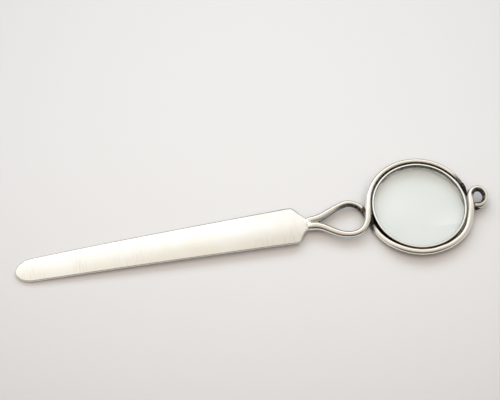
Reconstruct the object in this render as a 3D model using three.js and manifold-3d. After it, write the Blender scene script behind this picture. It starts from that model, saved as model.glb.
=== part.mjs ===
// A silver paper knife with a reading lens at its end. A long tapered blade narrows to a neck,
// and two round wires are soldered to it. They open into an eye, cross, and run round the lens
// bezel, one on each side. The lower one then rises over the other's end and curls into a small
// hanging loop. The lens sits in the bezel on a bearer ring, under the bezel's burnished lip.
//
// Millimetres, +Z up. The layout is drawn about the lens centre, with +X from the blade towards
// the loop and Z = 0 on the surface that the object lies on. The last lines move the whole group,
// so that the part's origin is under the middle of its bounding box.
import * as THREE from "three";
import { mergeVertices } from "three/addons/utils/BufferGeometryUtils.js";
import Module from "manifold-3d";

const wasm = await Module();
wasm.setup();

// ---------------------------------------------------------------- driving dimensions
const WIRE_R = 1.5; // 3 mm round wire
const FIT_GAP = 0.15; // clearance left at every seat and butt joint
const SOLDER_GAP = 0.1; // clearance left round each drop of solder
const CROSSING_GAP = 0.06; // between the two wires where they cross
const LOW_Z = WIRE_R + 0.02; // axis of a wire that passes beneath
const HIGH_Z = LOW_Z + 2 * WIRE_R + CROSSING_GAP; // axis of a wire that passes over
const MID_Z = (LOW_Z + HIGH_Z) / 2;

const BLADE = {
  tipX: -187.6,
  tipLength: 8.5, // length of the half ellipse at the tip
  tipHalf: 5.85, // half the width behind the tip
  shoulderX: -59.5,
  shoulderHalf: 9.05,
  neckX: -53.7,
  neckHalf: 3.1,
  corner: 1.3, // length taken by each shoulder corner's curve
  throat: 2.2, // length taken by the curve into the neck
  thick: 2.4, // on the centreline at the neck end
  tipThick: 1.6, // on the centreline at the tip
  crownR: 62, // radius of both crowned faces
};

const BEZEL = {
  r: 21.95, // outside of the wall
  wall: 0.9,
  height: 4.6,
  lip: 1.15, // the burnished lip reaches this far in from the outside
  bearerWall: 0.9,
};
const LENS = {
  r: BEZEL.r - BEZEL.wall - FIT_GAP,
  edgeZ: 1.75, // underside of the edge
  edgeHeight: 1.5,
  dome: 1.2, // height of each convex face beyond the edge
};

const NECK = { x: BLADE.neckX + 1.5, y: WIRE_R + 0.1 }; // where the wires' axes start
const EYE = { x: -32.8, crest: 7.2, trough: -8.85 }; // widest point of the eye
const RING = { a: BEZEL.r + FIT_GAP + WIRE_R }; // a wire's axis round the bezel
const OVER_SWEEP = { from: 166, to: 16 }; // degrees round the bezel
const UNDER_SWEEP = { from: 197, to: 283 };
const LOOP = { x: 27.93, y: -0.68, a: 3.66, b: 4.6, lean: -13 }; // axis of the hanging loop
const LOOP_SWEEP = { from: 182, to: -103 };

// ---------------------------------------------------------------- helpers
const { degToRad, lerp, smoothstep } = THREE.MathUtils;
const v3 = (x, y, z) => new THREE.Vector3(x, y, z);

function solid(geometry, matrix = new THREE.Matrix4()) {
  const bare = geometry.clone();
  bare.deleteAttribute("normal");
  bare.deleteAttribute("uv");
  const merged = mergeVertices(bare.applyMatrix4(matrix), 1e-4);
  return new wasm.Manifold(
    new wasm.Mesh({
      numProp: 3,
      vertProperties: merged.attributes.position.array,
      triVerts: new Uint32Array(merged.index.array),
    }),
  );
}

function geometryOf(manifold) {
  const mesh = manifold.getMesh();
  const made = new THREE.BufferGeometry();
  made.setAttribute("position", new THREE.BufferAttribute(mesh.vertProperties, 3));
  made.setIndex(new THREE.BufferAttribute(mesh.triVerts, 1));
  return made;
}

// A round bar with flat ends, along a smooth curve through the points.
function bar(points, radius, steps, sides = 12) {
  const section = new THREE.Shape();
  section.absarc(0, 0, radius, 0, 2 * Math.PI);
  return new THREE.ExtrudeGeometry(section, {
    steps,
    curveSegments: sides / 2,
    bevelEnabled: false,
    extrudePath: new THREE.CatmullRomCurve3(points, false, "centripetal"),
  });
}

// Points along a part of an ellipse, which leans by turning about its middle. The sweep is in
// degrees, and heightAt gives z at each angle.
function arc({ x = 0, y = 0, a, b = a, lean = 0 }, { from, to }, count, heightAt) {
  return Array.from({ length: count }, (_, i) => {
    const degrees = lerp(from, to, i / (count - 1));
    const t = degToRad(degrees);
    const point = v3(a * Math.cos(t), b * Math.sin(t), heightAt(degrees));
    return point.applyAxisAngle(v3(0, 0, 1), degToRad(lean)).add(v3(x, y, 0));
  });
}

// A height that goes smoothly from one value to another over a sweep.
function ramp({ from, to }, startZ, endZ) {
  return (degrees) => lerp(startZ, endZ, smoothstep((degrees - from) / (to - from), 0, 1));
}

// A closed profile of (radius, z) pairs, turned about the lens axis.
function turned(profile, segments = 72) {
  const made = new THREE.LatheGeometry(profile.map(([r, z]) => new THREE.Vector2(r, z)), segments);
  return made.rotateX(Math.PI / 2); // the lathe turns about Y, and the lens axis is Z
}

// ---------------------------------------------------------------- wires
const overHeight = ramp({ from: 166, to: 96 }, HIGH_Z, MID_Z + 0.45);
const underHeight = ramp({ from: 197, to: 245 }, LOW_Z, MID_Z + 0.1);

// The over wire leaves the neck on the -Y side, passes over at the end of the eye and runs round
// the +Y side of the bezel, sinking to half height. It ends just short of the other wire.
const overWirePath = [
  v3(NECK.x, -NECK.y, MID_Z),
  v3(-49.8, -NECK.y, MID_Z),
  v3(-46.4, -2.7, MID_Z),
  v3(-42.2, -5.5, MID_Z),
  v3(-38.0, -7.9, MID_Z),
  v3(EYE.x, EYE.trough, MID_Z),
  v3(-28.5, -7.75, lerp(MID_Z, HIGH_Z, 0.35)),
  v3(-25.6, -4.2, lerp(MID_Z, HIGH_Z, 0.8)),
  v3(-24.35, 0.3, HIGH_Z),
  ...arc(RING, OVER_SWEEP, 17, overHeight),
];

// The under wire leaves the neck on the +Y side, dips beneath the other and runs round the -Y
// side of the bezel. It bows out from the bezel, climbs and curls into the loop.
const underWirePath = [
  v3(NECK.x, NECK.y, MID_Z),
  v3(-49.8, NECK.y, MID_Z),
  v3(-46.1, 2.5, MID_Z),
  v3(-41.8, 4.35, MID_Z),
  v3(-37.2, 6.25, MID_Z),
  v3(EYE.x, EYE.crest, MID_Z),
  v3(-28.8, 6.1, lerp(MID_Z, LOW_Z, 0.4)),
  v3(-26.0, 3.4, lerp(MID_Z, LOW_Z, 0.85)),
  v3(-24.5, -0.8, LOW_Z),
  ...arc(RING, UNDER_SWEEP, 10, underHeight),
  v3(9.7, -21.8, MID_Z),
  v3(15.6, -18.5, MID_Z),
  v3(19.1, -14.9, lerp(MID_Z, HIGH_Z, 0.1)),
  v3(21.5, -10.5, lerp(MID_Z, HIGH_Z, 0.4)),
  v3(23.3, -5.4, lerp(MID_Z, HIGH_Z, 0.85)),
  ...arc(LOOP, LOOP_SWEEP, 13, ramp(LOOP_SWEEP, HIGH_Z, MID_Z + 0.05)),
];

const overWire = (radius) => bar(overWirePath, radius, 110);
const underWire = (radius) => bar(underWirePath, radius, 130);

// ---------------------------------------------------------------- blade
// Half of the outline runs from the tip to the neck, and the other half mirrors it.
function bladeOutline() {
  const { tipX, tipLength, tipHalf, shoulderX, shoulderHalf, neckX, neckHalf, corner, throat } = BLADE;
  const edge = Math.atan2(shoulderHalf - tipHalf, shoulderX - tipX - tipLength);
  const fall = Math.atan2(shoulderHalf - neckHalf, neckX - shoulderX);
  const half = new THREE.Path();
  half.absellipse(tipX + tipLength, 0, tipLength, tipHalf, Math.PI, Math.PI / 2, true);
  half.lineTo(shoulderX - corner * Math.cos(edge), shoulderHalf - corner * Math.sin(edge));
  half.quadraticCurveTo(
    shoulderX,
    shoulderHalf,
    shoulderX + corner * Math.cos(fall),
    shoulderHalf - corner * Math.sin(fall),
  );
  half.lineTo(neckX - throat * Math.cos(fall), neckHalf + throat * Math.sin(fall));
  half.quadraticCurveTo(neckX - 0.4 * throat, neckHalf + 0.3 * throat * Math.sin(fall), neckX, neckHalf);
  const upper = half.getPoints(10);
  const lower = upper.slice(1).reverse().map((p) => new THREE.Vector2(p.x, -p.y));
  return new THREE.Shape([...upper, ...lower]);
}

// The outline is extruded, and each face is crowned by a large roller. The rollers close up
// towards the tip. The blade is then tilted until its tip comes down to the surface.
function bladeGeometry() {
  const { tipX, neckX, thick, tipThick, crownR } = BLADE;
  const length = neckX - tipX;
  const taper = Math.atan2((thick - tipThick) / 2, length);
  const plate = new THREE.ExtrudeGeometry(bladeOutline(), { depth: 2 * thick, bevelEnabled: false });
  plate.translate(-neckX, 0, -thick);
  const crown = (side) => {
    const roller = new THREE.CylinderGeometry(crownR, crownR, 2.2 * length, 420);
    roller.rotateZ(Math.PI / 2);
    roller.translate(0, 0, side * (thick / 2 - crownR));
    return solid(roller.rotateY(-side * taper));
  };
  const droop = Math.asin((MID_Z - tipThick / 2) / length);
  const made = geometryOf(solid(plate).intersect(crown(1)).intersect(crown(-1)));
  return made.rotateY(-droop).translate(neckX, 0, MID_Z);
}

// ---------------------------------------------------------------- bezel, bearer and lens
function bezelGeometry() {
  const { r, wall, height, lip } = BEZEL;
  return turned([
    [r - 0.15, 0],
    [r, 0.2],
    [r, height - 0.6],
    [r - 0.2, height - 0.18],
    [r - 0.6, height],
    [r - lip, height - 0.15],
    [r - lip - 0.12, height - 0.5],
    [r - wall, height - 1.05],
    [r - wall, 0],
    [r - 0.15, 0],
  ]);
}

function bearerGeometry() {
  const outside = BEZEL.r - BEZEL.wall - FIT_GAP;
  const inside = outside - BEZEL.bearerWall;
  const top = LENS.edgeZ - FIT_GAP;
  return turned([
    [outside, 0.05],
    [outside, top],
    [inside, top - 0.1],
    [inside, 0.2],
    [inside + 0.15, 0.05],
    [outside, 0.05],
  ]);
}

// Both faces have the same radius, and the edge between them is a cylinder.
function lensGeometry() {
  const { r, edgeZ, edgeHeight, dome } = LENS;
  const sphere = (r ** 2 + dome ** 2) / (2 * dome);
  const reach = Math.asin(r / sphere);
  const steps = 8;
  const face = (z, side) =>
    Array.from({ length: steps + 1 }, (_, i) => {
      const t = (reach * i) / steps;
      return [sphere * Math.sin(t), z + side * (dome - sphere * (1 - Math.cos(t)))];
    });
  return turned([...face(edgeZ, -1), ...face(edgeZ + edgeHeight, 1).reverse()]);
}

// ---------------------------------------------------------------- solder
// Each joint is a drop of solder, cut to shape by the metal round it.
const bezelPlug = new THREE.CylinderGeometry(BEZEL.r + SOLDER_GAP, BEZEL.r + SOLDER_GAP, 20, 90);
const metal = [
  solid(overWire(WIRE_R + SOLDER_GAP)),
  solid(underWire(WIRE_R + SOLDER_GAP)),
  solid(bezelPlug.rotateX(Math.PI / 2)),
];

// The cut can leave crumbs, so only the largest body is kept.
function cutByMetal(blob) {
  const bodies = metal.reduce((left, piece) => left.subtract(piece), blob).decompose();
  return geometryOf(bodies.reduce((best, body) => (body.volume() > best.volume() ? body : best)));
}

function drop([x, y, z], [rx, ry, rz]) {
  const ball = new THREE.SphereGeometry(1, 20, 14);
  return cutByMetal(solid(ball, new THREE.Matrix4().makeScale(rx, ry, rz).setPosition(x, y, z)));
}

// A fillet in the groove between a wire and the bezel wall, below the line where they meet.
function seam(sweep, heightAt) {
  const path = arc({ a: BEZEL.r + 0.45 }, sweep, 14, (degrees) => heightAt(degrees) - 1);
  return cutByMetal(solid(bar(path, 0.42, 60, 8)));
}

// The butt joint is as wide as the two wires that it holds to the blade.
function neckSolderGeometry() {
  const section = new THREE.Shape();
  section.absarc(NECK.y, 0, WIRE_R, -Math.PI / 2, Math.PI / 2);
  section.absarc(-NECK.y, 0, WIRE_R, Math.PI / 2, 1.5 * Math.PI);
  const depth = NECK.x - BLADE.neckX - 2 * FIT_GAP;
  const made = new THREE.ExtrudeGeometry(section, { depth, curveSegments: 8, bevelEnabled: false });
  return made.rotateZ(Math.PI / 2).rotateY(Math.PI / 2).translate(BLADE.neckX + FIT_GAP, 0, MID_Z);
}

// ---------------------------------------------------------------- assembly
const silver = { color: 0xe8e4dc, roughness: 0.25, metalness: 1 };
const darkSolder = { color: 0x6f685e, roughness: 0.5, metalness: 1 };
const glass = { color: 0xe6f0ea, roughness: 0.03, metalness: 0, transparent: true, opacity: 0.35 };

const layout = new THREE.Group();

function add(name, geometry, look) {
  const mesh = new THREE.Mesh(geometry, new THREE.MeshStandardMaterial(look));
  mesh.name = name;
  layout.add(mesh);
}

add("blade", bladeGeometry(), silver);
add("over_wire", overWire(WIRE_R), silver);
add("under_wire", underWire(WIRE_R), silver);
add("lens_bezel", bezelGeometry(), silver);
add("bearer_ring", bearerGeometry(), silver);
add("lens", lensGeometry(), glass);
add("neck_solder", neckSolderGeometry(), silver);
add("fork_solder", drop([-48.8, 0, MID_Z], [3.1, 1.5, 1.35]), darkSolder);
add("crossing_solder", drop([-23.3, -3.2, MID_Z], [1.7, 3.0, 1.5]), darkSolder);
add("end_solder", drop([23.3, 3.9, MID_Z - 0.2], [1.3, 2.5, 1.5]), darkSolder);
add("loop_solder", drop([25.0, -5.0, MID_Z + 0.3], [1.1, 1.7, 1.3]), darkSolder);
add("over_seam_solder", seam({ from: 140, to: 24 }, overHeight), darkSolder);
add("under_seam_solder", seam({ from: 205, to: 280 }, underHeight), darkSolder);

const box = new THREE.Box3().setFromObject(layout);
layout.position.set(-(box.min.x + box.max.x) / 2, -(box.min.y + box.max.y) / 2, -box.min.z);

const group = new THREE.Group();
group.add(layout);
export default group;
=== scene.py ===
import math

import bmesh
import bpy
import numpy as np
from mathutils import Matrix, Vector


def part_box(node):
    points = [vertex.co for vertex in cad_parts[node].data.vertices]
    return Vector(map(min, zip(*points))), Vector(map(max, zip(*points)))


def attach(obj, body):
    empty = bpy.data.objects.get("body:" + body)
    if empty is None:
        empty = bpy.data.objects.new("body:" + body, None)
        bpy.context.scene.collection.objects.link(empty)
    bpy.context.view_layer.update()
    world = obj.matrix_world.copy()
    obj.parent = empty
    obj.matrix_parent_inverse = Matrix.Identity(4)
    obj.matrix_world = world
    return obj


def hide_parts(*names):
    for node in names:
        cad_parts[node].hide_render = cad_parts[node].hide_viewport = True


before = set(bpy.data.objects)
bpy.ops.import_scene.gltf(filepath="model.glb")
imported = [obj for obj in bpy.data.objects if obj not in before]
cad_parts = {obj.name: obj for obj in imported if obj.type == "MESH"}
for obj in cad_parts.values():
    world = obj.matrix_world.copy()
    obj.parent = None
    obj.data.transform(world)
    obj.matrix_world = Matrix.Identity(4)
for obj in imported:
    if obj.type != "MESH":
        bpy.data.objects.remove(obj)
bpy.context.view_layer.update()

MM = 0.001
rng = np.random.default_rng(7)

# ---------------------------------------------------------------- places taken from the frame
lens_lo, lens_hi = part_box("lens")
bezel_lo, bezel_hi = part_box("lens_bezel")
blade_lo, blade_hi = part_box("blade")
over_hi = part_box("over_wire")[1]
under_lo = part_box("under_wire")[0]
neck_lo, neck_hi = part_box("neck_solder")

CENTER = np.array([(lens_lo.x + lens_hi.x) / 2, (lens_lo.y + lens_hi.y) / 2, 0.0])
BEZEL_R = (bezel_hi.x - bezel_lo.x) / 2
BEZEL_H = bezel_hi.z
WIRE_R = (neck_hi.z - neck_lo.z) / 2
LOW_Z = under_lo.z + WIRE_R             # the axis of a wire that passes beneath
HIGH_Z = over_hi.z - WIRE_R             # the axis of a wire that passes above
MID_Z = (LOW_Z + HIGH_Z) / 2
RING_R = BEZEL_R + 0.15 * MM + WIRE_R   # the axis of a wire that hugs the bezel
REST_Z = MID_Z + 0.45 * MM              # the over wire's height round the far side

# ---------------------------------------------------------------- camera
CAMERA_AZIMUTH = math.radians(-10.16)
CAMERA_ELEVATION = math.radians(61.8)
CAMERA_DISTANCE = 0.5518
AIM = Vector((0.83 * MM, 18.6 * MM, 0.0))

camera = bpy.data.objects.new("camera", bpy.data.cameras.new("camera"))
bpy.context.scene.collection.objects.link(camera)
bpy.context.scene.camera = camera
camera.data.sensor_width = 36.0
camera.data.lens = 84.8
camera.data.clip_start = 0.01
camera.data.clip_end = 20.0
back = Vector((
    math.sin(CAMERA_AZIMUTH) * math.cos(CAMERA_ELEVATION),
    -math.cos(CAMERA_AZIMUTH) * math.cos(CAMERA_ELEVATION),
    math.sin(CAMERA_ELEVATION),
))
camera.location = AIM + back * CAMERA_DISTANCE
camera.rotation_euler = (-back).to_track_quat("-Z", "Y").to_euler()


# ---------------------------------------------------------------- node helpers
def material(name):
    made = bpy.data.materials.new(name)
    made.use_nodes = True
    nodes = made.node_tree.nodes
    nodes.clear()
    output = nodes.new("ShaderNodeOutputMaterial")
    shader = nodes.new("ShaderNodeBsdfPrincipled")
    made.node_tree.links.new(shader.outputs["BSDF"], output.inputs["Surface"])
    return made, made.node_tree, shader


def node(tree, kind, inputs=None, **settings):
    made = tree.nodes.new(kind)
    for key, value in settings.items():
        setattr(made, key, value)
    for key, value in (inputs or {}).items():
        if isinstance(value, bpy.types.NodeSocket):
            tree.links.new(value, made.inputs[key])
        else:
            made.inputs[key].default_value = value
    return made


def math_node(tree, operation, a, b=0.0, clamp=False):
    made = node(tree, "ShaderNodeMath", {0: a, 1: b}, operation=operation)
    made.use_clamp = clamp
    return made.outputs[0]


def remap(tree, value, low, high, to_low=0.0, to_high=1.0):
    """Takes low to to_low and high to to_high, and holds the ends. low may be above high."""
    made = node(tree, "ShaderNodeMapRange", {
        "Value": value, "From Min": low, "From Max": high, "To Min": to_low, "To Max": to_high,
    })
    return made.outputs["Result"]


def ramp(tree, value, stops):
    made = node(tree, "ShaderNodeValToRGB", {"Fac": value})
    elements = made.color_ramp.elements
    while len(elements) < len(stops):
        elements.new(0.5)
    for element, (position, color) in zip(elements, stops):
        element.position = position
        element.color = (*color, 1.0)
    return made.outputs["Color"]


def mix_color(tree, factor, a, b):
    made = node(tree, "ShaderNodeMix", data_type="RGBA", blend_type="MIX")
    for key, value in ((0, factor), (6, a), (7, b)):
        if isinstance(value, bpy.types.NodeSocket):
            tree.links.new(value, made.inputs[key])
        else:
            made.inputs[key].default_value = value if key == 0 else (*value, 1.0)
    return made.outputs[2]


def noise(tree, vector, scale, detail=2.0, roughness=0.5):
    made = node(tree, "ShaderNodeTexNoise", {
        "Vector": vector, "Scale": scale, "Detail": detail, "Roughness": roughness,
    })
    return made.outputs["Fac"]


def object_coords(tree):
    return node(tree, "ShaderNodeTexCoord").outputs["Object"]


def stretched(tree, scale, turn=0.0):
    made = node(tree, "ShaderNodeMapping", {
        "Vector": object_coords(tree), "Scale": scale, "Rotation": (0.0, 0.0, turn),
    })
    return made.outputs["Vector"]


def scaled(color, factors):
    return tuple(c * k for c, k in zip(color, factors))


def add_bump(tree, shader, relief, distance, strength=1.0):
    bump = node(tree, "ShaderNodeBump", {
        "Height": relief, "Strength": strength, "Distance": distance,
    })
    tree.links.new(bump.outputs["Normal"], shader.inputs["Normal"])


# ---------------------------------------------------------------- materials
# the dark colour of tarnish, also used to paint shade into the silver
OXIDE_AND_SHADE = (0.04, 0.03, 0.021)
CLOUDED = (0.97, 0.955, 0.93)      # parts of the base colour where the polish is cloudy
RUBBED = (0.875, 0.888, 0.905)     # and where it is rubbed across
HAIR_SCALE = (60.0, 2600.0, 2600.0)
RUB_SCALE = (2400.0, 90.0, 900.0)
RUB_TURN = 0.5


def silver(name, base, polish, scratch_height):
    """Polished silver. A mesh attribute (0 to 1), read below, darkens it towards the dark colour:
    tarnish in the crevices, and painted shade where the surface lies in shade.
    """
    made, tree, shader = material(name)
    shader.inputs["Metallic"].default_value = 1.0
    coords = object_coords(tree)
    tarnish_and_shade = node(tree, "ShaderNodeAttribute", attribute_name="tarnish_and_shade").outputs["Fac"]
    mottle = remap(tree, noise(tree, coords, 900.0, 4.0, 0.6), 0.3, 0.7, 0.75, 1.15)
    broken = math_node(tree, "MULTIPLY", tarnish_and_shade, mottle, clamp=True)

    clouds = noise(tree, coords, 90.0, 3.0, 0.55)
    clean = mix_color(tree, remap(tree, clouds, 0.35, 0.7), base, scaled(base, CLOUDED))
    cross = noise(tree, stretched(tree, RUB_SCALE, RUB_TURN), 1.0)
    patches = remap(tree, noise(tree, coords, 45.0), 0.49, 0.6)
    rubs = math_node(tree, "MULTIPLY", remap(tree, cross, 0.5, 0.7), patches)
    clean = mix_color(tree, rubs, clean, scaled(base, RUBBED))
    tree.links.new(mix_color(tree, broken, clean, OXIDE_AND_SHADE), shader.inputs["Base Color"])

    hair = noise(tree, stretched(tree, HAIR_SCALE), 1.0, 3.0, 0.6)
    smudge = remap(tree, noise(tree, coords, 140.0, 3.0, 0.6), 0.35, 0.75, polish, polish + 0.07)
    rough = math_node(tree, "ADD", smudge, remap(tree, hair, 0.55, 0.8, 0.0, 0.06))
    rough = math_node(tree, "ADD", rough, math_node(tree, "MULTIPLY", broken, 0.3))
    tree.links.new(rough, shader.inputs["Roughness"])

    lines = math_node(tree, "ADD", hair, math_node(tree, "MULTIPLY", cross, 0.5))
    pitting = math_node(tree, "ADD", 0.25, broken)
    pits = math_node(tree, "MULTIPLY", noise(tree, coords, 1500.0), pitting)
    add_bump(tree, shader, math_node(tree, "ADD", lines, pits), scratch_height)
    return made


def dark_solder():
    made, tree, shader = material("dark_solder")
    shader.inputs["Metallic"].default_value = 1.0
    grains = noise(tree, object_coords(tree), 2200.0, 4.0, 0.65)
    pale, deep = (0.075, 0.062, 0.048), (0.02, 0.016, 0.012)
    color = mix_color(tree, remap(tree, grains, 0.35, 0.7), deep, pale)
    tree.links.new(color, shader.inputs["Base Color"])
    tree.links.new(remap(tree, grains, 0.3, 0.7, 0.55, 0.38), shader.inputs["Roughness"])
    add_bump(tree, shader, grains, 0.05 * MM)
    return made


def lens_glass():
    """Clear glass. Shadow rays pass, because the renderer traces no caustics."""
    made, tree, shader = material("lens_glass")
    shader.inputs["Transmission Weight"].default_value = 1.0
    shader.inputs["IOR"].default_value = 1.5
    shader.inputs["Base Color"].default_value = (0.972, 1.0, 0.985, 1.0)
    wipe = noise(tree, stretched(tree, (60.0, 220.0, 60.0), 0.6), 1.0, 3.0, 0.6)
    tree.links.new(remap(tree, wipe, 0.5, 0.85, 0.0, 0.03), shader.inputs["Roughness"])
    clear = node(tree, "ShaderNodeBsdfTransparent", {"Color": (0.99, 1.0, 0.99, 1.0)})
    shadow = node(tree, "ShaderNodeLightPath").outputs["Is Shadow Ray"]
    both = node(tree, "ShaderNodeMixShader", {0: shadow, 1: shader.outputs[0], 2: clear.outputs[0]})
    output = next(n for n in tree.nodes if n.type == "OUTPUT_MATERIAL")
    tree.links.new(both.outputs[0], output.inputs["Surface"])
    return made


# the board's colour carries a painted pool of light: these set how it darkens towards the near
# side, the sides and the far side
BOARD_COLOR = (0.690, 0.700, 0.735)
BOARD_DARKEST = 0.35
NEAR_LINE = 0.06        # the board darkens from this Y (in the view's frame) towards the near side
NEAR_FALL, SIDE_FALL, FAR_FALL = 7.6, 3.8, 2.6     # by the square of the distance in metres
GATHER_EDGE, GATHER_FULL, GATHER_GAIN = 0.0235, 0.0185, 1.305
PATCH_GAIN, GLOW_GAIN = 0.085, 0.06


def painted_light_pool(tree, coords):
    """A pool of light painted into the board's colour: brightest behind the object, fading towards
    its sides.
    """
    rotation = (0.0, 0.0, -CAMERA_AZIMUTH)
    turn = node(tree, "ShaderNodeMapping", {"Vector": coords, "Rotation": rotation})
    parts = node(tree, "ShaderNodeSeparateXYZ", {"Vector": turn.outputs["Vector"]}).outputs
    near = math_node(tree, "MAXIMUM", math_node(tree, "SUBTRACT", NEAR_LINE, parts["Y"]), 0.0)
    near = math_node(tree, "MULTIPLY", math_node(tree, "POWER", near, 2.0), NEAR_FALL)
    side = math_node(tree, "POWER", math_node(tree, "ABSOLUTE", parts["X"]), 2.0)
    side = math_node(tree, "MULTIPLY", side, SIDE_FALL)
    far = math_node(tree, "POWER", math_node(tree, "MAXIMUM", parts["Y"], 0.0), 2.0)
    side = math_node(tree, "ADD", side, math_node(tree, "MULTIPLY", far, FAR_FALL))
    left = math_node(tree, "SUBTRACT", math_node(tree, "SUBTRACT", 1.0, near), side)
    return math_node(tree, "MAXIMUM", left, BOARD_DARKEST)


def painted_window_patch(tree, coords, reach):
    """Painted light on the board under the lens, standing in for a window's light through it: a
    soft patch with one crisp edge, and a glow.
    """
    offset = node(tree, "ShaderNodeVectorMath", {0: coords, 1: tuple(CENTER)}, operation="SUBTRACT")
    parts = node(tree, "ShaderNodeSeparateXYZ", {"Vector": offset.outputs["Vector"]}).outputs
    crisp = remap(tree, parts["Y"], -0.0108, -0.0103)
    edge = math_node(tree, "MULTIPLY", crisp, remap(tree, parts["Y"], -0.001, -0.0105))
    across = remap(tree, parts["X"], 0.002, 0.011, 0.0, PATCH_GAIN)
    patch = math_node(tree, "MULTIPLY", edge, across)
    rising = remap(tree, parts["Y"], -0.009, 0.002, 0.0, GLOW_GAIN)
    glow = math_node(tree, "MULTIPLY", remap(tree, parts["X"], 0.004, -0.010), rising)
    inside = remap(tree, reach, 0.0222, 0.0214)
    gathered = math_node(tree, "MULTIPLY", math_node(tree, "ADD", patch, glow), inside)
    return math_node(tree, "ADD", 1.0, gathered)


def board():
    made, tree, shader = material("board")
    coords = object_coords(tree)
    # a pool of light painted into the board's colour
    shade = painted_light_pool(tree, coords)
    # painted light: the board's colour is brightened beneath the lens, where the lens would gather
    # light
    reach = node(tree, "ShaderNodeVectorMath", {0: coords, 1: tuple(CENTER)}, operation="DISTANCE")
    reach = reach.outputs["Value"]
    gather = remap(tree, reach, GATHER_EDGE, GATHER_FULL, 1.0, GATHER_GAIN)
    shade = math_node(tree, "MULTIPLY", shade, gather)
    shade = math_node(tree, "MULTIPLY", shade, painted_window_patch(tree, coords, reach))
    fibre = noise(tree, coords, 700.0, 4.0, 0.6)
    shade = math_node(tree, "MULTIPLY", shade, remap(tree, fibre, 0.3, 0.7, 0.992, 1.0))
    color = node(tree, "ShaderNodeVectorMath", {0: BOARD_COLOR, "Scale": shade}, operation="SCALE")
    tree.links.new(color.outputs["Vector"], shader.inputs["Base Color"])
    shader.inputs["Roughness"].default_value = 0.85
    shader.inputs["Specular IOR Level"].default_value = 0.2
    add_bump(tree, shader, fibre, 0.02 * MM, strength=0.2)
    return made


# ---------------------------------------------------------------- mesh helpers
def mesh_piece(name, vertices, faces, look, replaced, tarnish_and_shade=None):
    mesh = bpy.data.meshes.new(name)
    mesh.from_pydata([tuple(v) for v in vertices], [], faces)
    mesh.validate()
    mesh.shade_smooth()
    mesh.materials.append(look)
    if tarnish_and_shade is not None:
        layer = mesh.attributes.new("tarnish_and_shade", "FLOAT", "POINT")
        layer.data.foreach_set("value", np.clip(tarnish_and_shade, 0.0, 1.0).astype(np.float32))
    made = bpy.data.objects.new(name, mesh)
    bpy.context.scene.collection.objects.link(made)
    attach(made, "root")
    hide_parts(*replaced)
    return made


def grid_faces(rows, columns, wrap):
    """Quads between the rows of a grid of vertices. With wrap, each row closes on itself."""
    faces = []
    for i in range(rows - 1):
        this, following = i * columns, (i + 1) * columns
        for j in range(columns if wrap else columns - 1):
            k = (j + 1) % columns
            faces.append((this + j, this + k, following + k, following + j))
    return faces


def end_caps(rows, columns):
    """The two faces that close a tube made of rows of vertices."""
    return [tuple(range(columns - 1, -1, -1)), tuple(range((rows - 1) * columns, rows * columns))]


def weld(piece, distance):
    mesh = bmesh.new()
    mesh.from_mesh(piece.data)
    bmesh.ops.remove_doubles(mesh, verts=mesh.verts, dist=distance)
    bmesh.ops.dissolve_degenerate(mesh, edges=mesh.edges, dist=distance)
    bmesh.ops.recalc_face_normals(mesh, faces=mesh.faces)
    mesh.to_mesh(piece.data)
    mesh.free()
    piece.data.shade_smooth()


def smooth_curve(points, spacing, blur):
    """An even, smooth curve through the points: a centripetal spline, then a Gaussian blur.

    spacing is the distance between its points and blur the width of the Gaussian, both in metres.
    """
    p = np.array(points, float)
    p = np.vstack([2 * p[0] - p[1], p, 2 * p[-1] - p[-2]])
    dense = []
    for i in range(1, len(p) - 2):
        p0, p1, p2, p3 = p[i - 1:i + 3]
        t0 = 0.0
        t1 = t0 + np.linalg.norm(p1 - p0) ** 0.5
        t2 = t1 + np.linalg.norm(p2 - p1) ** 0.5
        t3 = t2 + np.linalg.norm(p3 - p2) ** 0.5
        t = np.linspace(t1, t2, 60, endpoint=False)[:, None]
        a1 = (t1 - t) / (t1 - t0) * p0 + (t - t0) / (t1 - t0) * p1
        a2 = (t2 - t) / (t2 - t1) * p1 + (t - t1) / (t2 - t1) * p2
        a3 = (t3 - t) / (t3 - t2) * p2 + (t - t2) / (t3 - t2) * p3
        b1 = (t2 - t) / (t2 - t0) * a1 + (t - t0) / (t2 - t0) * a2
        b2 = (t3 - t) / (t3 - t1) * a2 + (t - t1) / (t3 - t1) * a3
        dense.append((t2 - t) / (t2 - t1) * b1 + (t - t1) / (t2 - t1) * b2)
    dense = np.vstack([*dense, p[-2:-1]])
    along = np.r_[0, np.cumsum(np.linalg.norm(np.diff(dense, axis=0), axis=1))]
    even = np.linspace(0, along[-1], int(along[-1] / spacing) + 1)
    curve = np.stack([np.interp(even, along, dense[:, k]) for k in range(3)], 1)
    reach = int(3 * blur / spacing)
    weights = np.exp(-0.5 * (np.arange(-reach, reach + 1) * spacing / blur) ** 2)
    weights /= weights.sum()
    start = 2 * curve[0] - curve[reach:0:-1]
    end = 2 * curve[-1] - curve[-2:-reach - 2:-1]
    padded = np.vstack([start, curve, end])
    return np.stack([np.convolve(padded[:, k], weights, "valid") for k in range(3)], 1)


CAP_RINGS = 7


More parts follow.
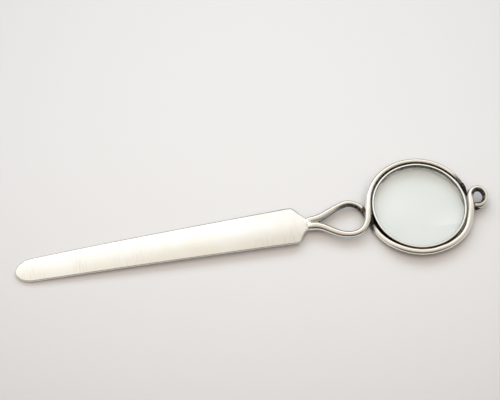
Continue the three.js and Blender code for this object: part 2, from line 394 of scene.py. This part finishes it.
def tube(curve, radius, sides, round_start, round_end):
    """A tube along the curve, with a radius for each point. Its ends are rounded or cut flat.

    It returns the vertices, the faces and, for each vertex, the point of the curve it goes round.
    """
    tangent = np.gradient(curve, axis=0)
    tangent /= np.linalg.norm(tangent, axis=1, keepdims=True)
    side = np.cross(tangent, (0.0, 0.0, 1.0))
    side /= np.linalg.norm(side, axis=1, keepdims=True)
    up = np.cross(side, tangent)

    def cap(end, sign, rounded):
        """The rings beyond one end of the curve, from the curve outwards."""
        depth = radius[end] * (0.75 if rounded else 0.02)
        rings = []
        for i in range(1, CAP_RINGS + 1):
            t = i / CAP_RINGS * math.pi / 2
            center = curve[end] + sign * tangent[end] * depth * math.sin(t)
            rings.append((center, max(radius[end] * math.cos(t), 1e-6), end))
        return rings

    last = len(curve) - 1
    rings = cap(0, -1.0, round_start)[::-1]
    rings += [(curve[i], radius[i], i) for i in range(len(curve))]
    rings += cap(last, 1.0, round_end)
    angles = np.linspace(0, 2 * math.pi, sides, endpoint=False)
    cosine, sine = np.cos(angles)[:, None], np.sin(angles)[:, None]
    rows = [c + r * (cosine * side[i] + sine * up[i]) for c, r, i in rings]
    faces = grid_faces(len(rows), sides, wrap=True) + end_caps(len(rows), sides)
    spine = np.repeat(curve[[i for _, _, i in rings]], sides, axis=0)
    return np.vstack(rows), faces, spine


def circle(segments):
    t = np.linspace(0, 2 * math.pi, segments, endpoint=False)
    return np.stack([np.cos(t), np.sin(t)], 1)


def lens_ring(r, z, unit):
    """A level ring of radius r about the lens axis, from the points of a unit circle."""
    return np.c_[CENTER[:2] + r * unit, np.full(len(unit), z)]


def turned(profile, segments):
    """A closed (radius, z) profile turned about the lens axis."""
    unit = circle(segments)
    vertices = np.vstack([lens_ring(r, z, unit) for r, z in np.array(profile)])
    faces = []
    for i in range(len(profile)):
        this, following = i * segments, (i + 1) % len(profile) * segments
        for j in range(segments):
            k = (j + 1) % segments
            faces.append((this + j, following + j, following + k, this + k))
    return vertices, faces


def arc_points(cx, cz, r, start, end, count):
    t = np.radians(np.linspace(start, end, count))
    return [(cx + r * math.cos(a), cz + r * math.sin(a)) for a in t]


def smoothstep(x):
    x = np.clip(x, 0.0, 1.0)
    return x * x * (3 - 2 * x)


def wobble(n, waves, size):
    """A smooth random variation along n points."""
    t = np.linspace(0, 1, n)
    total = np.zeros(n)
    for k in waves:
        total += rng.uniform(-1, 1) * np.sin(2 * math.pi * (k * t + rng.uniform()))
    return 1 + size * total / len(waves)


# ---------------------------------------------------------------- wires
def lens_frame(x, y, z):
    """A point given in mm from the lens centre, with z in metres."""
    return CENTER + np.array([x * MM, y * MM, z])


def height(share):
    """0 is a wire beneath, 0.5 is level and 1 is a wire above."""
    return LOW_Z + (HIGH_Z - LOW_Z) * share


def sweep(half_axes, lean, center, angles, count, heights):
    """Points round part of a leaning ellipse, in mm and degrees, with heights as shares."""
    (a, b), (x, y), turn = half_axes, center, math.radians(lean)
    z_start, z_end = (height(share) for share in heights)
    points = []
    for share in np.linspace(0, 1, count):
        t = math.radians(angles[0] + (angles[1] - angles[0]) * share)
        u, v = a * math.cos(t), b * math.sin(t)
        points.append(lens_frame(
            x + u * math.cos(turn) - v * math.sin(turn),
            y + u * math.sin(turn) + v * math.cos(turn),
            z_start + (z_end - z_start) * smoothstep(share),
        ))
    return points


def hug(angles, count, heights):
    """Points where a wire lies against the bezel."""
    return sweep((RING_R / MM, RING_R / MM), 0, (0, 0), angles, count, heights)


def through(*points):
    """Points given in mm from the lens centre, each with its height as a share."""
    return [lens_frame(x, y, height(share)) for x, y, share in points]


NECK_X = (neck_lo.x - CENTER[0]) / MM
REST_SHARE = (REST_Z - LOW_Z) / (HIGH_Z - LOW_Z)
CURVE_SPACING = 0.3 * MM
over_curve = smooth_curve([
    *through((NECK_X, -1.6, 0.5), (-49.8, -1.6, 0.5), (-46.4, -2.7, 0.5), (-42.2, -5.5, 0.5),
             (-38.0, -7.9, 0.5), (-32.8, -8.85, 0.5), (-28.5, -7.75, 0.68), (-25.6, -4.2, 0.9),
             (-24.35, 0.3, 1.0)),
    *hug((166, 96), 9, (1.0, REST_SHARE)),
    *hug((87, 16.5), 9, (REST_SHARE, REST_SHARE)),
], CURVE_SPACING, 0.9 * MM)
under_curve = smooth_curve([
    *through((NECK_X, 1.6, 0.5), (-49.8, 1.6, 0.5), (-46.1, 2.5, 0.5), (-41.8, 4.35, 0.5),
             (-37.2, 6.25, 0.5), (-32.8, 7.2, 0.5), (-28.8, 6.1, 0.3), (-26.0, 3.4, 0.08),
             (-24.5, -0.8, 0.0)),
    *hug((197, 245), 6, (0.0, 0.53)),
    *hug((255, 283), 4, (0.53, 0.53)),
    *through((9.7, -21.8, 0.5), (15.6, -18.5, 0.5), (19.1, -14.9, 0.55), (21.5, -10.5, 0.7),
             (23.3, -5.4, 0.92)),
    *sweep((3.66, 4.3), -13, (27.93, -0.42), (182, -103), 13, (1.0, 0.52)),
], CURVE_SPACING, 0.6 * MM)


def towards(axis, x, y):
    """Unit vectors in the plane from each point of a wire's axis towards a point given in mm."""
    d = CENTER[:2] + np.array([x, y]) * MM - axis[:, :2]
    return d / np.linalg.norm(d, axis=1, keepdims=True)


def gap_to(vertices, curve, chunk=4000):
    """Each vertex's distance from the surface of the wire that follows the curve."""
    near = np.zeros(len(vertices))
    for start in range(0, len(vertices), chunk):
        part = slice(start, start + chunk)
        away = np.linalg.norm(vertices[part, None, :] - curve[None, ::3, :], axis=2)
        near[part] = away.min(1) - WIRE_R
    return near


def wire_tarnish_and_shade(vertices, normals, axis, other, under):
    """Darkening for the wire's colour: tarnish in the crevices, and painted shade where the bezel,
    the other wire and the table shade the wire.

    normals points out of the wire at each vertex, axis holds the point of the curve there, other is
    the other wire's curve, and under says that this is the under wire. Positions are in mm.
    """
    x, y = ((axis[:, k] - CENTER[k]) / MM for k in (0, 1))
    flat, up = normals[:, :2], normals[:, 2]

    # painted shade beside the bezel, as far out as its wall shades the wire, over tarnish in the
    # groove
    beside_bezel = 1 - smoothstep((np.hypot(x, y) - 24.2) / 1.2)
    aside = np.linalg.norm(vertices[:, :2] - CENTER[:2], axis=1) - BEZEL_R
    open_gap = (aside - 0.45 * np.maximum(BEZEL_H - vertices[:, 2], 0)) / MM
    dark_width = np.where(y < 0, np.where(x < 0, 0.2, 0.34), 0.66)
    inner = beside_bezel * (1 - smoothstep((open_gap - dark_width) / 0.32))

    # tarnish and painted shade where the wires touch each other, and painted shade low on both
    close = 1 - smoothstep((gap_to(vertices, other) - 0.1 * MM) / (0.7 * MM))
    touch = close * smoothstep((x + 51.0) / 2.5)
    below = 0.6 * smoothstep((0.4 - up) / 0.5)

    if not under:
        # the outer side of the last stretch, and all of the end
        angle = np.degrees(np.arctan2(y, x))
        facing_bezel = (flat * towards(axis, 0, 0)).sum(1)
        outside = 0.35 + 0.65 * smoothstep((facing_bezel + 0.75) / 0.6)
        stretch = outside * smoothstep((38.0 - angle) / 14.0)
        end = 0.97 * (x > 0) * (y > 0) * np.maximum(stretch, smoothstep((22.0 - angle) / 4.0))
        return np.maximum.reduce([inner, touch, below, end])

    # the inside of the eye, and the line low along its arm
    in_eye = smoothstep((x + 41.0) / 6.0) * (x < -24.0) * (y > -3.0)
    facing_eye = (flat * towards(axis, -34.0, -0.8)).sum(1)
    eye = 0.95 * in_eye * smoothstep((facing_eye - 0.15) / 0.45)
    arm = smoothstep((x + 48.0) / 2.0) * (x < -33.0) * smoothstep((-flat[:, 1] - 0.2) / 0.4)
    eye = np.maximum(eye, 0.9 * arm * smoothstep((0.62 - up) / 0.35))
    # painted shade where the wire dives beneath the other one and comes out again
    emerging = np.clip((-21.7 - x) / 1.4, 0, 1) * (y < 4)
    dive = 0.96 * smoothstep((x + 29.5) / 3.0) * smoothstep(emerging * (2.3 - 1.3 * up))
    # painted shade inside the hanging loop, and a light darkening on its tail
    in_loop = smoothstep((x - 23.9) / 0.8) * (y > -7.0)
    facing_loop = (flat * towards(axis, 27.6, -0.5)).sum(1)
    loop = in_loop * smoothstep((facing_loop + 0.05) / 0.35)
    tail = 0.25 * in_loop * (x > 24.5) * smoothstep((-2.6 - y) / 2.0)
    return np.maximum.reduce([inner, touch, below, eye, dive, loop, tail])


WIRE_SIDES = 48
TABLE_GAP = 0.005 * MM      # a forged wire is flattened where it would sink into the table
wire_look = silver("wire_silver", (0.93, 0.90, 0.85), 0.10, 0.004 * MM)


def wire(name, replaced, curve, radius, other, under):
    vertices, faces, spine = tube(curve, radius, WIRE_SIDES, False, True)
    vertices[:, 2] = np.maximum(vertices[:, 2], TABLE_GAP)
    normals = vertices - spine
    normals /= np.maximum(np.linalg.norm(normals, axis=1, keepdims=True), 1e-9)
    tarnish_and_shade = wire_tarnish_and_shade(vertices, normals, spine, other, under)
    mesh_piece(name, vertices, faces, wire_look, replaced, tarnish_and_shade)


def forged(curve, stops, waves):
    """Wire radius along a curve, from (distance in mm, factor) stops, a little uneven."""
    along = np.r_[0, np.cumsum(np.linalg.norm(np.diff(curve, axis=0), axis=1))] / MM
    distance, factor = zip(*stops)
    return WIRE_R * np.interp(along, distance, factor) * wobble(len(curve), waves, 0.012)


over_radius = forged(over_curve, [
    (0, 0.8), (1, 1.1), (2.6, 1.4), (4, 1.38), (9, 1.22), (16, 1.12), (24, 1.06), (31, 1.0),
    (60, 1.0), (84, 0.97), (94, 0.8), (100, 0.62),
], (3, 7, 13, 22))
under_radius = forged(under_curve, [
    (0, 0.8), (1, 1.1), (2.6, 1.38), (4, 1.36), (9, 1.22), (14, 1.12), (23, 1.06), (29, 1.0),
    (100, 1.0),
], (3, 8, 14, 25))
wire("over_wire_round", ["over_wire"], over_curve, over_radius, under_curve, under=False)
wire("under_wire_round", ["under_wire"], under_curve, under_radius, over_curve, under=True)


# ---------------------------------------------------------------- blade (in mm, then in metres)
TIP_LENGTH, TIP_HALF, SHOULDER_HALF, NECK_HALF = 8.5, 5.85, 9.05, 2.95
THROAT_LENGTH = 11.0        # the part next to the neck that gets close stations
THROAT_OVERLAP = 2.0        # how far the throat runs over the ends of the wires
BLADE_COLUMNS = 61
HALF_THICKNESS = 0.8        # at the tip's middle, and more towards the neck
FAR_ROUNDING, NEAR_ROUNDING = 1.0, 0.42
BOW = 0.7


def blade_outline(x, tip, shoulder, neck, hollow, blend):
    """Half width at each distance x from the lens centre.

    hollow curves the throat inwards, and blend rounds the corner of the shoulder.
    """
    u = np.clip((x - tip) / TIP_LENGTH, 0, 1)
    slope = (SHOULDER_HALF - TIP_HALF) / (shoulder - tip - TIP_LENGTH)
    taper = TIP_HALF + slope * (x - tip - TIP_LENGTH)
    body = np.where(x < tip + TIP_LENGTH, TIP_HALF * np.sqrt(1 - (1 - u) ** 2), taper)
    left = np.clip((neck - x) / (neck - shoulder), 0, 3)
    fall = NECK_HALF + (SHOULDER_HALF - NECK_HALF) * left ** hollow
    corner = -blend * np.log(np.exp(-body / blend) + np.exp(-np.clip(fall, -50, 50) / blend))
    half = np.where(x < tip + TIP_LENGTH, body, np.maximum(corner, NECK_HALF))
    return np.maximum(half, 0.003)


def blade_stations(tip, neck):
    """Distances along the blade: close together round the tip and in the throat."""
    front = tip + TIP_LENGTH * (1 - np.cos(np.linspace(0, math.pi / 2, 40)))
    middle = np.linspace(tip + TIP_LENGTH, neck - THROAT_LENGTH, 130)
    throat = np.linspace(neck - THROAT_LENGTH, neck + THROAT_OVERLAP, 85)
    return np.r_[front, middle[1:], throat[1:]]


def blade_top(x, share, tip, neck):
    """The upper face as a grid of points: a crowned plate whose edges are rounded over."""
    far_half = blade_outline(x, tip, neck - 4.7, neck + 0.6, 1.2, 0.8)
    far_half *= 1 + 0.055 * smoothstep(share / 0.35)
    near_half = blade_outline(x, tip, neck - 4.0, neck + 2.0, 2.3, 1.1)
    across = np.sin(np.linspace(-math.pi / 2, math.pi / 2, BLADE_COLUMNS))
    top = []
    for i, station in enumerate(x):
        half = np.where(across > 0, far_half[i], near_half[i])
        y = half * across
        # the distance to the outline, over the stations close by
        window = slice(max(0, i - 45), i + 46)
        edge = np.where(across[None] > 0, far_half[window, None], near_half[window, None])
        gap = (station - x[window, None]) ** 2 + (np.abs(y)[None] - edge) ** 2
        gap = np.sqrt(gap).min(0)
        if station > tip + TIP_LENGTH:
            gap = np.minimum(gap, half * (1 - np.abs(across)))
        crown_r = 58.0 + 22.0 * max(0.0, 1 - share[i] / 0.5)
        thinning = 1 - 0.6 * float(smoothstep((station - neck - 0.2) / 1.8))
        middle = (HALF_THICKNESS + 0.4 * min(share[i], 1.0)) * thinning
        crown = middle - (crown_r - np.sqrt(crown_r ** 2 - y ** 2))
        inwards = np.clip(gap / np.where(y > 0, FAR_ROUNDING, NEAR_ROUNDING), 0, 1)
        rounding = np.sqrt(np.clip(1 - (1 - inwards) ** 2, 0, 1))
        top.append(np.stack([np.full(BLADE_COLUMNS, station), y, crown * rounding], 1))
    return np.array(top)


def blade():
    tip = (blade_lo.x - CENTER[0]) / MM
    neck = (blade_hi.x - CENTER[0]) / MM
    length = neck - tip
    x = blade_stations(tip, neck)
    top = blade_top(x, (x - tip) / length, tip, neck)
    bottom = top * (1.0, 1.0, -1.0)

    # a forged surface is never quite true
    along = (top[..., 0] - tip) / length
    ripple = 0.012 * np.sin(2 * math.pi * (2.3 * along + 0.2))
    ripple += 0.006 * np.sin(2 * math.pi * (7.1 * along + 0.6 + 0.01 * top[..., 1]))
    top[..., 2] += (top[..., 2] > 0.02) * ripple * np.clip(top[..., 2], 0, 1)

    # the tip rests on the table and the neck is at the wires' height, with a slight bow between
    droop = math.asin((MID_Z / MM - HALF_THICKNESS) / length)
    vertices = []
    for face in (top, bottom):
        dx, z = face[..., 0] - neck, face[..., 2]
        bow = BOW * np.sin(math.pi * np.clip(-dx / length, 0, 1)) ** 0.7
        turned_x = dx * math.cos(droop) - z * math.sin(droop)
        turned_z = z * math.cos(droop) + dx * math.sin(droop) + bow
        points = np.stack([turned_x + neck, face[..., 1], turned_z], -1).reshape(-1, 3) * MM
        vertices.append(points + CENTER + np.array([0, 0, MID_Z]))
    vertices = np.vstack(vertices)

    rows, columns = len(x), BLADE_COLUMNS
    offset = rows * columns
    faces = grid_faces(rows, columns, wrap=False)
    top_faces = [tuple(reversed(f)) for f in faces]
    bottom_faces = [tuple(offset + k for k in f) for f in faces]
    end_top = [(rows - 1) * columns + j for j in range(columns)]
    end_face = tuple(end_top + [offset + k for k in reversed(end_top)])

    # darker towards the neck and more so on the far side, toning down its reflection there
    right_part = smoothstep(((vertices[:, 0] - CENTER[0]) / MM + 92) / 25)
    tarnish_and_shade = right_part * (0.035 + 0.09 * smoothstep(vertices[:, 1] / (7 * MM)))
    look = silver("blade_silver", (0.95, 0.932, 0.902), 0.16, 0.003 * MM)
    made = mesh_piece("blade_forged", vertices, top_faces + bottom_faces + [end_face],
                      look, ["blade"], tarnish_and_shade)
    weld(made, 0.0015 * MM)


blade()


# ---------------------------------------------------------------- bezel, bearer and lens
BEZEL_SEGMENTS, BEARER_SEGMENTS, LENS_SEGMENTS, LENS_RINGS = 288, 240, 240, 48
bezel_look = silver("bezel_silver", (0.955, 0.94, 0.90), 0.10, 0.003 * MM)


def bezel():
    """The wall is rubbed over the glass: a crisp outer corner, a narrow top and a slope inwards."""
    drawn_height = 4.6      # of the section below: mm out from the outer wall, and mm up
    section = [
        (-0.15, 0.0), (-0.03, 0.04), (0.0, 0.18), (0.0, 0.8), (0.0, 1.6), (0.0, 2.4), (0.0, 3.2),
        (0.0, 3.8), (0.0, 4.12), (-0.02, 4.26), (-0.06, 4.36), (-0.13, 4.43), (-0.23, 4.47),
        (-0.36, 4.5), (-0.48, 4.515), (-0.6, 4.52), (-0.7, 4.51), (-0.8, 4.46), (-0.89, 4.36),
        (-0.97, 4.22), (-1.04, 4.05), (-1.1, 3.86), (-1.13, 3.7), (-1.12, 3.56), (-1.06, 3.46),
        (-0.98, 3.42), (-0.92, 3.38), (-0.9, 3.3), (-0.9, 2.6), (-0.9, 1.8), (-0.9, 1.0),
        (-0.9, 0.15), (-0.85, 0.02), (-0.75, 0.0),
    ]
    profile = [(BEZEL_R + out * MM, up / drawn_height * BEZEL_H) for out, up in section]
    vertices, faces = turned(profile, BEZEL_SEGMENTS)
    flat = vertices[:, :2] - CENTER[:2]
    reach = (np.hypot(flat[:, 0], flat[:, 1]) - BEZEL_R) / MM
    level = vertices[:, 2] / MM
    # tarnish and painted shade on the outer wall below the lip and on the inner slope
    wall = (reach > -0.12) * (1 - smoothstep((level - 4.05) / 0.25))
    slope = 0.6 * smoothstep((-0.88 - reach) / 0.15)
    turn = np.arctan2(flat[:, 1], flat[:, 0])
    lip_wave = 0.03 * np.sin(5 * turn + 1.0) + 0.02 * np.sin(13 * turn + 2.0)
    vertices[:, 2] += (level > 3.9) * lip_wave * MM
    mesh_piece("bezel_rim", vertices, faces, bezel_look, ["lens_bezel"],
               np.maximum(wall, slope))


def bearer():
    lo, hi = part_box("bearer_ring")
    outer = (hi.x - lo.x) / 2
    inner = outer - 0.5 * MM
    profile = [
        (outer, lo.z), (outer, hi.z - 0.05 * MM), (outer - 0.08 * MM, hi.z),
        (inner + 0.2 * MM, hi.z - 0.03 * MM),
        *arc_points(inner + 0.25 * MM, hi.z - 0.3 * MM, 0.25 * MM, 90, 180, 6),
        (inner, lo.z + 0.2 * MM), (inner + 0.15 * MM, lo.z),
    ]
    vertices, faces = turned(profile, BEARER_SEGMENTS)
    mesh_piece("bearer_seat", vertices, faces, bezel_look, ["bearer_ring"],
               np.full(len(vertices), 0.1))


def lens():
    """A double-convex glass with a bevelled edge."""
    radius = (lens_hi.x - lens_lo.x) / 2
    middle = (lens_lo.z + lens_hi.z) / 2
    edge, bevel = 0.75 * MM, 0.18 * MM
    dome = (lens_hi.z - lens_lo.z) / 2 - edge
    sphere = (radius ** 2 + dome ** 2) / (2 * dome)

    def rise(r):
        return edge + dome - (sphere - np.sqrt(sphere ** 2 - r ** 2))

    side = [(r, rise(r)) for r in np.linspace(0, radius - bevel, LENS_RINGS)[1:]]
    side.append((radius, rise(radius) - bevel))
    unit = circle(LENS_SEGMENTS)
    rows = [lens_ring(r, middle + z, unit) for r, z in side]
    rows += [lens_ring(r, middle - z, unit) for r, z in reversed(side)]
    poles = [[CENTER[0], CENTER[1], lens_hi.z], [CENTER[0], CENTER[1], lens_lo.z]]
    vertices = np.vstack([*rows, *([pole] for pole in poles)])
    faces = grid_faces(len(rows), LENS_SEGMENTS, wrap=True)
    top_pole, bottom_pole = len(vertices) - 2, len(vertices) - 1
    last = (len(rows) - 1) * LENS_SEGMENTS
    for j in range(LENS_SEGMENTS):
        k = (j + 1) % LENS_SEGMENTS
        faces.append((top_pole, k, j))
        faces.append((bottom_pole, last + j, last + k))
    made = mesh_piece("lens_glass", vertices, faces, lens_glass(), ["lens"])
    weld(made, 1e-7)


bezel()
bearer()
lens()


# ---------------------------------------------------------------- solder
solder_look = dark_solder()


def blob(name, replaced, scale, shift):
    """A lumpy drop of solder in its CAD node's box, scaled and then shifted by mm."""
    lo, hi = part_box(replaced)
    center = np.array((lo + hi) / 2) + np.array(shift) * MM
    size = np.array((hi - lo) / 2) * np.array(scale)
    rows, columns, lumps = 18, 28, 0.06
    seed = rng.uniform(0, 6, 6)
    vertices = []
    for i in range(rows + 1):
        theta = math.pi * i / rows
        for j in range(columns):
            phi = 2 * math.pi * j / columns
            x, y = math.sin(theta) * math.cos(phi), math.sin(theta) * math.sin(phi)
            z = math.cos(theta)
            bulge = math.sin(5 * x + seed[0]) * math.sin(4 * y + seed[1])
            bulge += math.sin(6 * z + seed[2])
            vertices.append(center + np.array([x, y, z]) * size * (1 + lumps * bulge))
    faces = grid_faces(rows + 1, columns, wrap=True)
    made = mesh_piece(name, np.array(vertices), faces, solder_look, [replaced])
    weld(made, 1e-6)


def solder_line(name, replaced, curve, radius, sides):
    vertices, faces, _ = tube(curve, radius, sides, True, True)
    mesh_piece(name, vertices, faces, solder_look, [replaced])


def seam(name, replaced, start, end, axis_height):
    """Dark solder in the groove between a wire and the bezel wall, between two angles in degrees.

    axis_height gives the height of the wire's axis at an angle, and the solder lies below it.
    """
    r, drop = BEZEL_R + 0.35 * MM, 1.0 * MM
    points = []
    for angle in np.linspace(start, end, 120):
        t = math.radians(angle)
        offset = np.array([r * math.cos(t), r * math.sin(t), axis_height(angle) - drop])
        points.append(CENTER + offset)
    curve = smooth_curve(points, 0.5 * MM, 0.8 * MM)
    radius = 0.45 * MM * wobble(len(curve), (9, 17, 31), 0.15)
    solder_line(name, replaced, curve, radius, 10)


def neck_collar():
    """The butt joint: a short filed collar that blends the blade's end into the two wires."""
    lo, hi = neck_lo, neck_hi
    rows, columns = 26, 72
    start, length = lo.x - 0.6 * MM, hi.x - lo.x + 2.6 * MM
    t = np.linspace(0, 2 * math.pi, columns, endpoint=False)
    vertices = []
    for share in np.linspace(0, 1, rows):
        half = hi.y + 0.02 * MM + 0.5 * MM * share
        y = half * np.sign(np.cos(t)) * np.abs(np.cos(t)) ** 0.75
        plain = (1.22 * MM + 0.8 * MM * share) * np.sin(t)
        lobes = smoothstep((share - 0.2) / 0.8)     # the section turns into two wires side by side
        waist = 1 - 0.28 * lobes * np.exp(-(y / (0.55 * MM)) ** 2)
        z = plain * waist * (1 + 0.05 * math.sin(math.pi * share))
        vertices.append(np.stack([np.full(columns, start + length * share), y, z + MID_Z], 1))
    vertices = np.vstack(vertices)
    faces = grid_faces(rows, columns, wrap=True) + end_caps(rows, columns)
    ahead = (vertices[:, 0] - hi.x) / MM
    groove = 0.22 * np.exp(-((ahead + 1.1) / 0.22) ** 2)
    groove += 0.3 * np.exp(-((ahead - 1.35) / 0.2) ** 2)
    groove += 0.5 * smoothstep(ahead / 1.5) * np.exp(-((vertices[:, 1] / MM) / 0.3) ** 2)
    mesh_piece("neck_collar", vertices, faces, wire_look, ["neck_solder"], groove)


def end_fillet():
    """Solder that carries the over wire's end on as a point between the bezel and the stem."""
    points = []
    for share in np.linspace(0, 1, 40):
        t = math.radians(18.0 - 14.0 * share)
        r, z = RING_R - 0.1 * MM * share, REST_Z - (0.2 + 0.9 * share) * MM
        points.append(CENTER + np.array([r * math.cos(t), r * math.sin(t), z]))
    curve = smooth_curve(points, 0.2 * MM, 0.4 * MM)
    share = np.linspace(0, 1, len(curve))
    radius = (1.12 - 0.7 * share ** 1.3) * MM * wobble(len(curve), (3, 5), 0.06)
    solder_line("end_fillet", "end_solder", curve, radius, 20)


def over_height(angle):
    """The over wire comes down from the crossing to its rest between 166 and 96 degrees."""
    return height(1 + (REST_SHARE - 1) * smoothstep((166 - angle) / 70))


def under_height(angle):
    """The under wire climbs out from beneath between 197 and 245 degrees."""
    return height(0.53 * smoothstep((angle - 197) / 48))


neck_collar()
blob("fork_fillet", "fork_solder", (0.86, 0.6, 0.7), (-0.7, 0.0, 0.0))
blob("crossing_fillet", "crossing_solder", (0.8, 0.9, 0.5), (0.0, 0.2, -0.35))
end_fillet()
blob("loop_fillet", "loop_solder", (1.9, 0.8, 0.8), (1.3, -0.1, -0.4))
seam("over_seam", "over_seam_solder", 140, 24, over_height)
seam("under_seam", "under_seam_solder", 205, 280, under_height)


# ---------------------------------------------------------------- board and light
def floor():
    reach, steps, depth = 1.6, 40, 0.02 * MM
    axis = np.linspace(-reach, reach, steps)
    vertices = [(x, y, -depth) for x in axis for y in axis]
    mesh = bpy.data.meshes.new("board")
    mesh.from_pydata(vertices, [], grid_faces(steps, steps, wrap=False))
    mesh.materials.append(board())
    made = bpy.data.objects.new("board", mesh)
    bpy.context.scene.collection.objects.link(made)


floor()


ZENITH_STOPS = [     # (degrees from the zenith, behind the object when negative; colour)
    (-90, (0.12, 0.115, 0.11)), (-70, (0.14, 0.135, 0.13)), (-63, (1.15, 1.15, 1.13)),
    (-50, (1.35, 1.35, 1.34)), (-33, (1.22, 1.22, 1.20)), (-26, (1.08, 1.06, 1.01)),
    (-19, (0.90, 0.87, 0.79)), (-8, (0.80, 0.76, 0.67)), (8, (0.82, 0.78, 0.70)),
    (25, (0.62, 0.57, 0.50)), (45, (0.28, 0.245, 0.20)), (65, (0.09, 0.074, 0.06)),
    (90, (0.03, 0.025, 0.02)),
]
SIDE_COLOR, GROUND_COLOR = (0.6, 0.585, 0.555), (0.5, 0.49, 0.47)
SEEN_COLOR = (0.80, 0.79, 0.77, 1.0)


def sky():
    """A white softbox behind the object, fading over its top to a dim warm room in front."""
    world = bpy.data.worlds.new("studio")
    bpy.context.scene.world = world
    world.use_nodes = True
    tree = world.node_tree
    tree.nodes.clear()
    output = node(tree, "ShaderNodeOutputWorld")
    coords = node(tree, "ShaderNodeTexCoord").outputs["Generated"]
    rotation = (0.0, 0.0, -CAMERA_AZIMUTH)
    turn = node(tree, "ShaderNodeMapping", {"Vector": coords, "Rotation": rotation})
    parts = node(tree, "ShaderNodeSeparateXYZ", {"Vector": turn.outputs["Vector"]}).outputs
    front = math_node(tree, "MULTIPLY", parts["Y"], -1.0)
    angle = math_node(tree, "ARCTAN2", front, parts["Z"])
    share = remap(tree, angle, -math.pi / 2, math.pi / 2)
    light = ramp(tree, share, [((degrees + 90) / 180, color) for degrees, color in ZENITH_STOPS])
    side = remap(tree, math_node(tree, "ABSOLUTE", parts["X"]), 0.55, 1.0)
    light = mix_color(tree, side, light, SIDE_COLOR)
    light = mix_color(tree, remap(tree, parts["Z"], -0.02, 0.0), GROUND_COLOR, light)
    # more light comes from the left
    strength = remap(tree, parts["X"], -0.4, 0.4, 1.12, 0.88)
    lit = node(tree, "ShaderNodeBackground", {"Color": light, "Strength": strength})
    plain = node(tree, "ShaderNodeBackground", {"Color": SEEN_COLOR, "Strength": 1.0})
    seen = node(tree, "ShaderNodeLightPath").outputs["Is Camera Ray"]
    both = node(tree, "ShaderNodeMixShader", {0: seen, 1: lit.outputs[0], 2: plain.outputs[0]})
    tree.links.new(both.outputs[0], output.inputs["Surface"])


sky()


def softbox(name, azimuth, elevation, distance, size, energy, color):
    """A diffuse panel aimed at the object. It lights the board and doesn't show in the silver.

    azimuth is in degrees from straight behind the object, as the camera sees it.
    """
    lamp = bpy.data.lights.new(name, "AREA")
    lamp.shape = "RECTANGLE"
    lamp.size, lamp.size_y = size
    lamp.energy = energy
    lamp.color = color
    made = bpy.data.objects.new(name, lamp)
    bpy.context.scene.collection.objects.link(made)
    turn, rise = CAMERA_AZIMUTH + math.radians(azimuth), math.radians(elevation)
    away = Vector((
        -math.sin(turn) * math.cos(rise),
        math.cos(turn) * math.cos(rise),
        math.sin(rise),
    ))
    made.location = AIM + away * distance
    made.rotation_euler = away.to_track_quat("Z", "Y").to_euler()
    made.visible_glossy = False
    made.visible_transmission = False


softbox("key_panel", 0, 38, 1.0, (1.5, 0.41), 5.66, (0.785, 0.945, 1.0))
softbox("fill_panel", 180, 80, 1.2, (1.5, 1.5), 7.5, (1.0, 0.815, 0.655))
bpy.context.scene.view_settings.view_transform = "Standard"
bpy.context.scene.view_settings.look = "None"
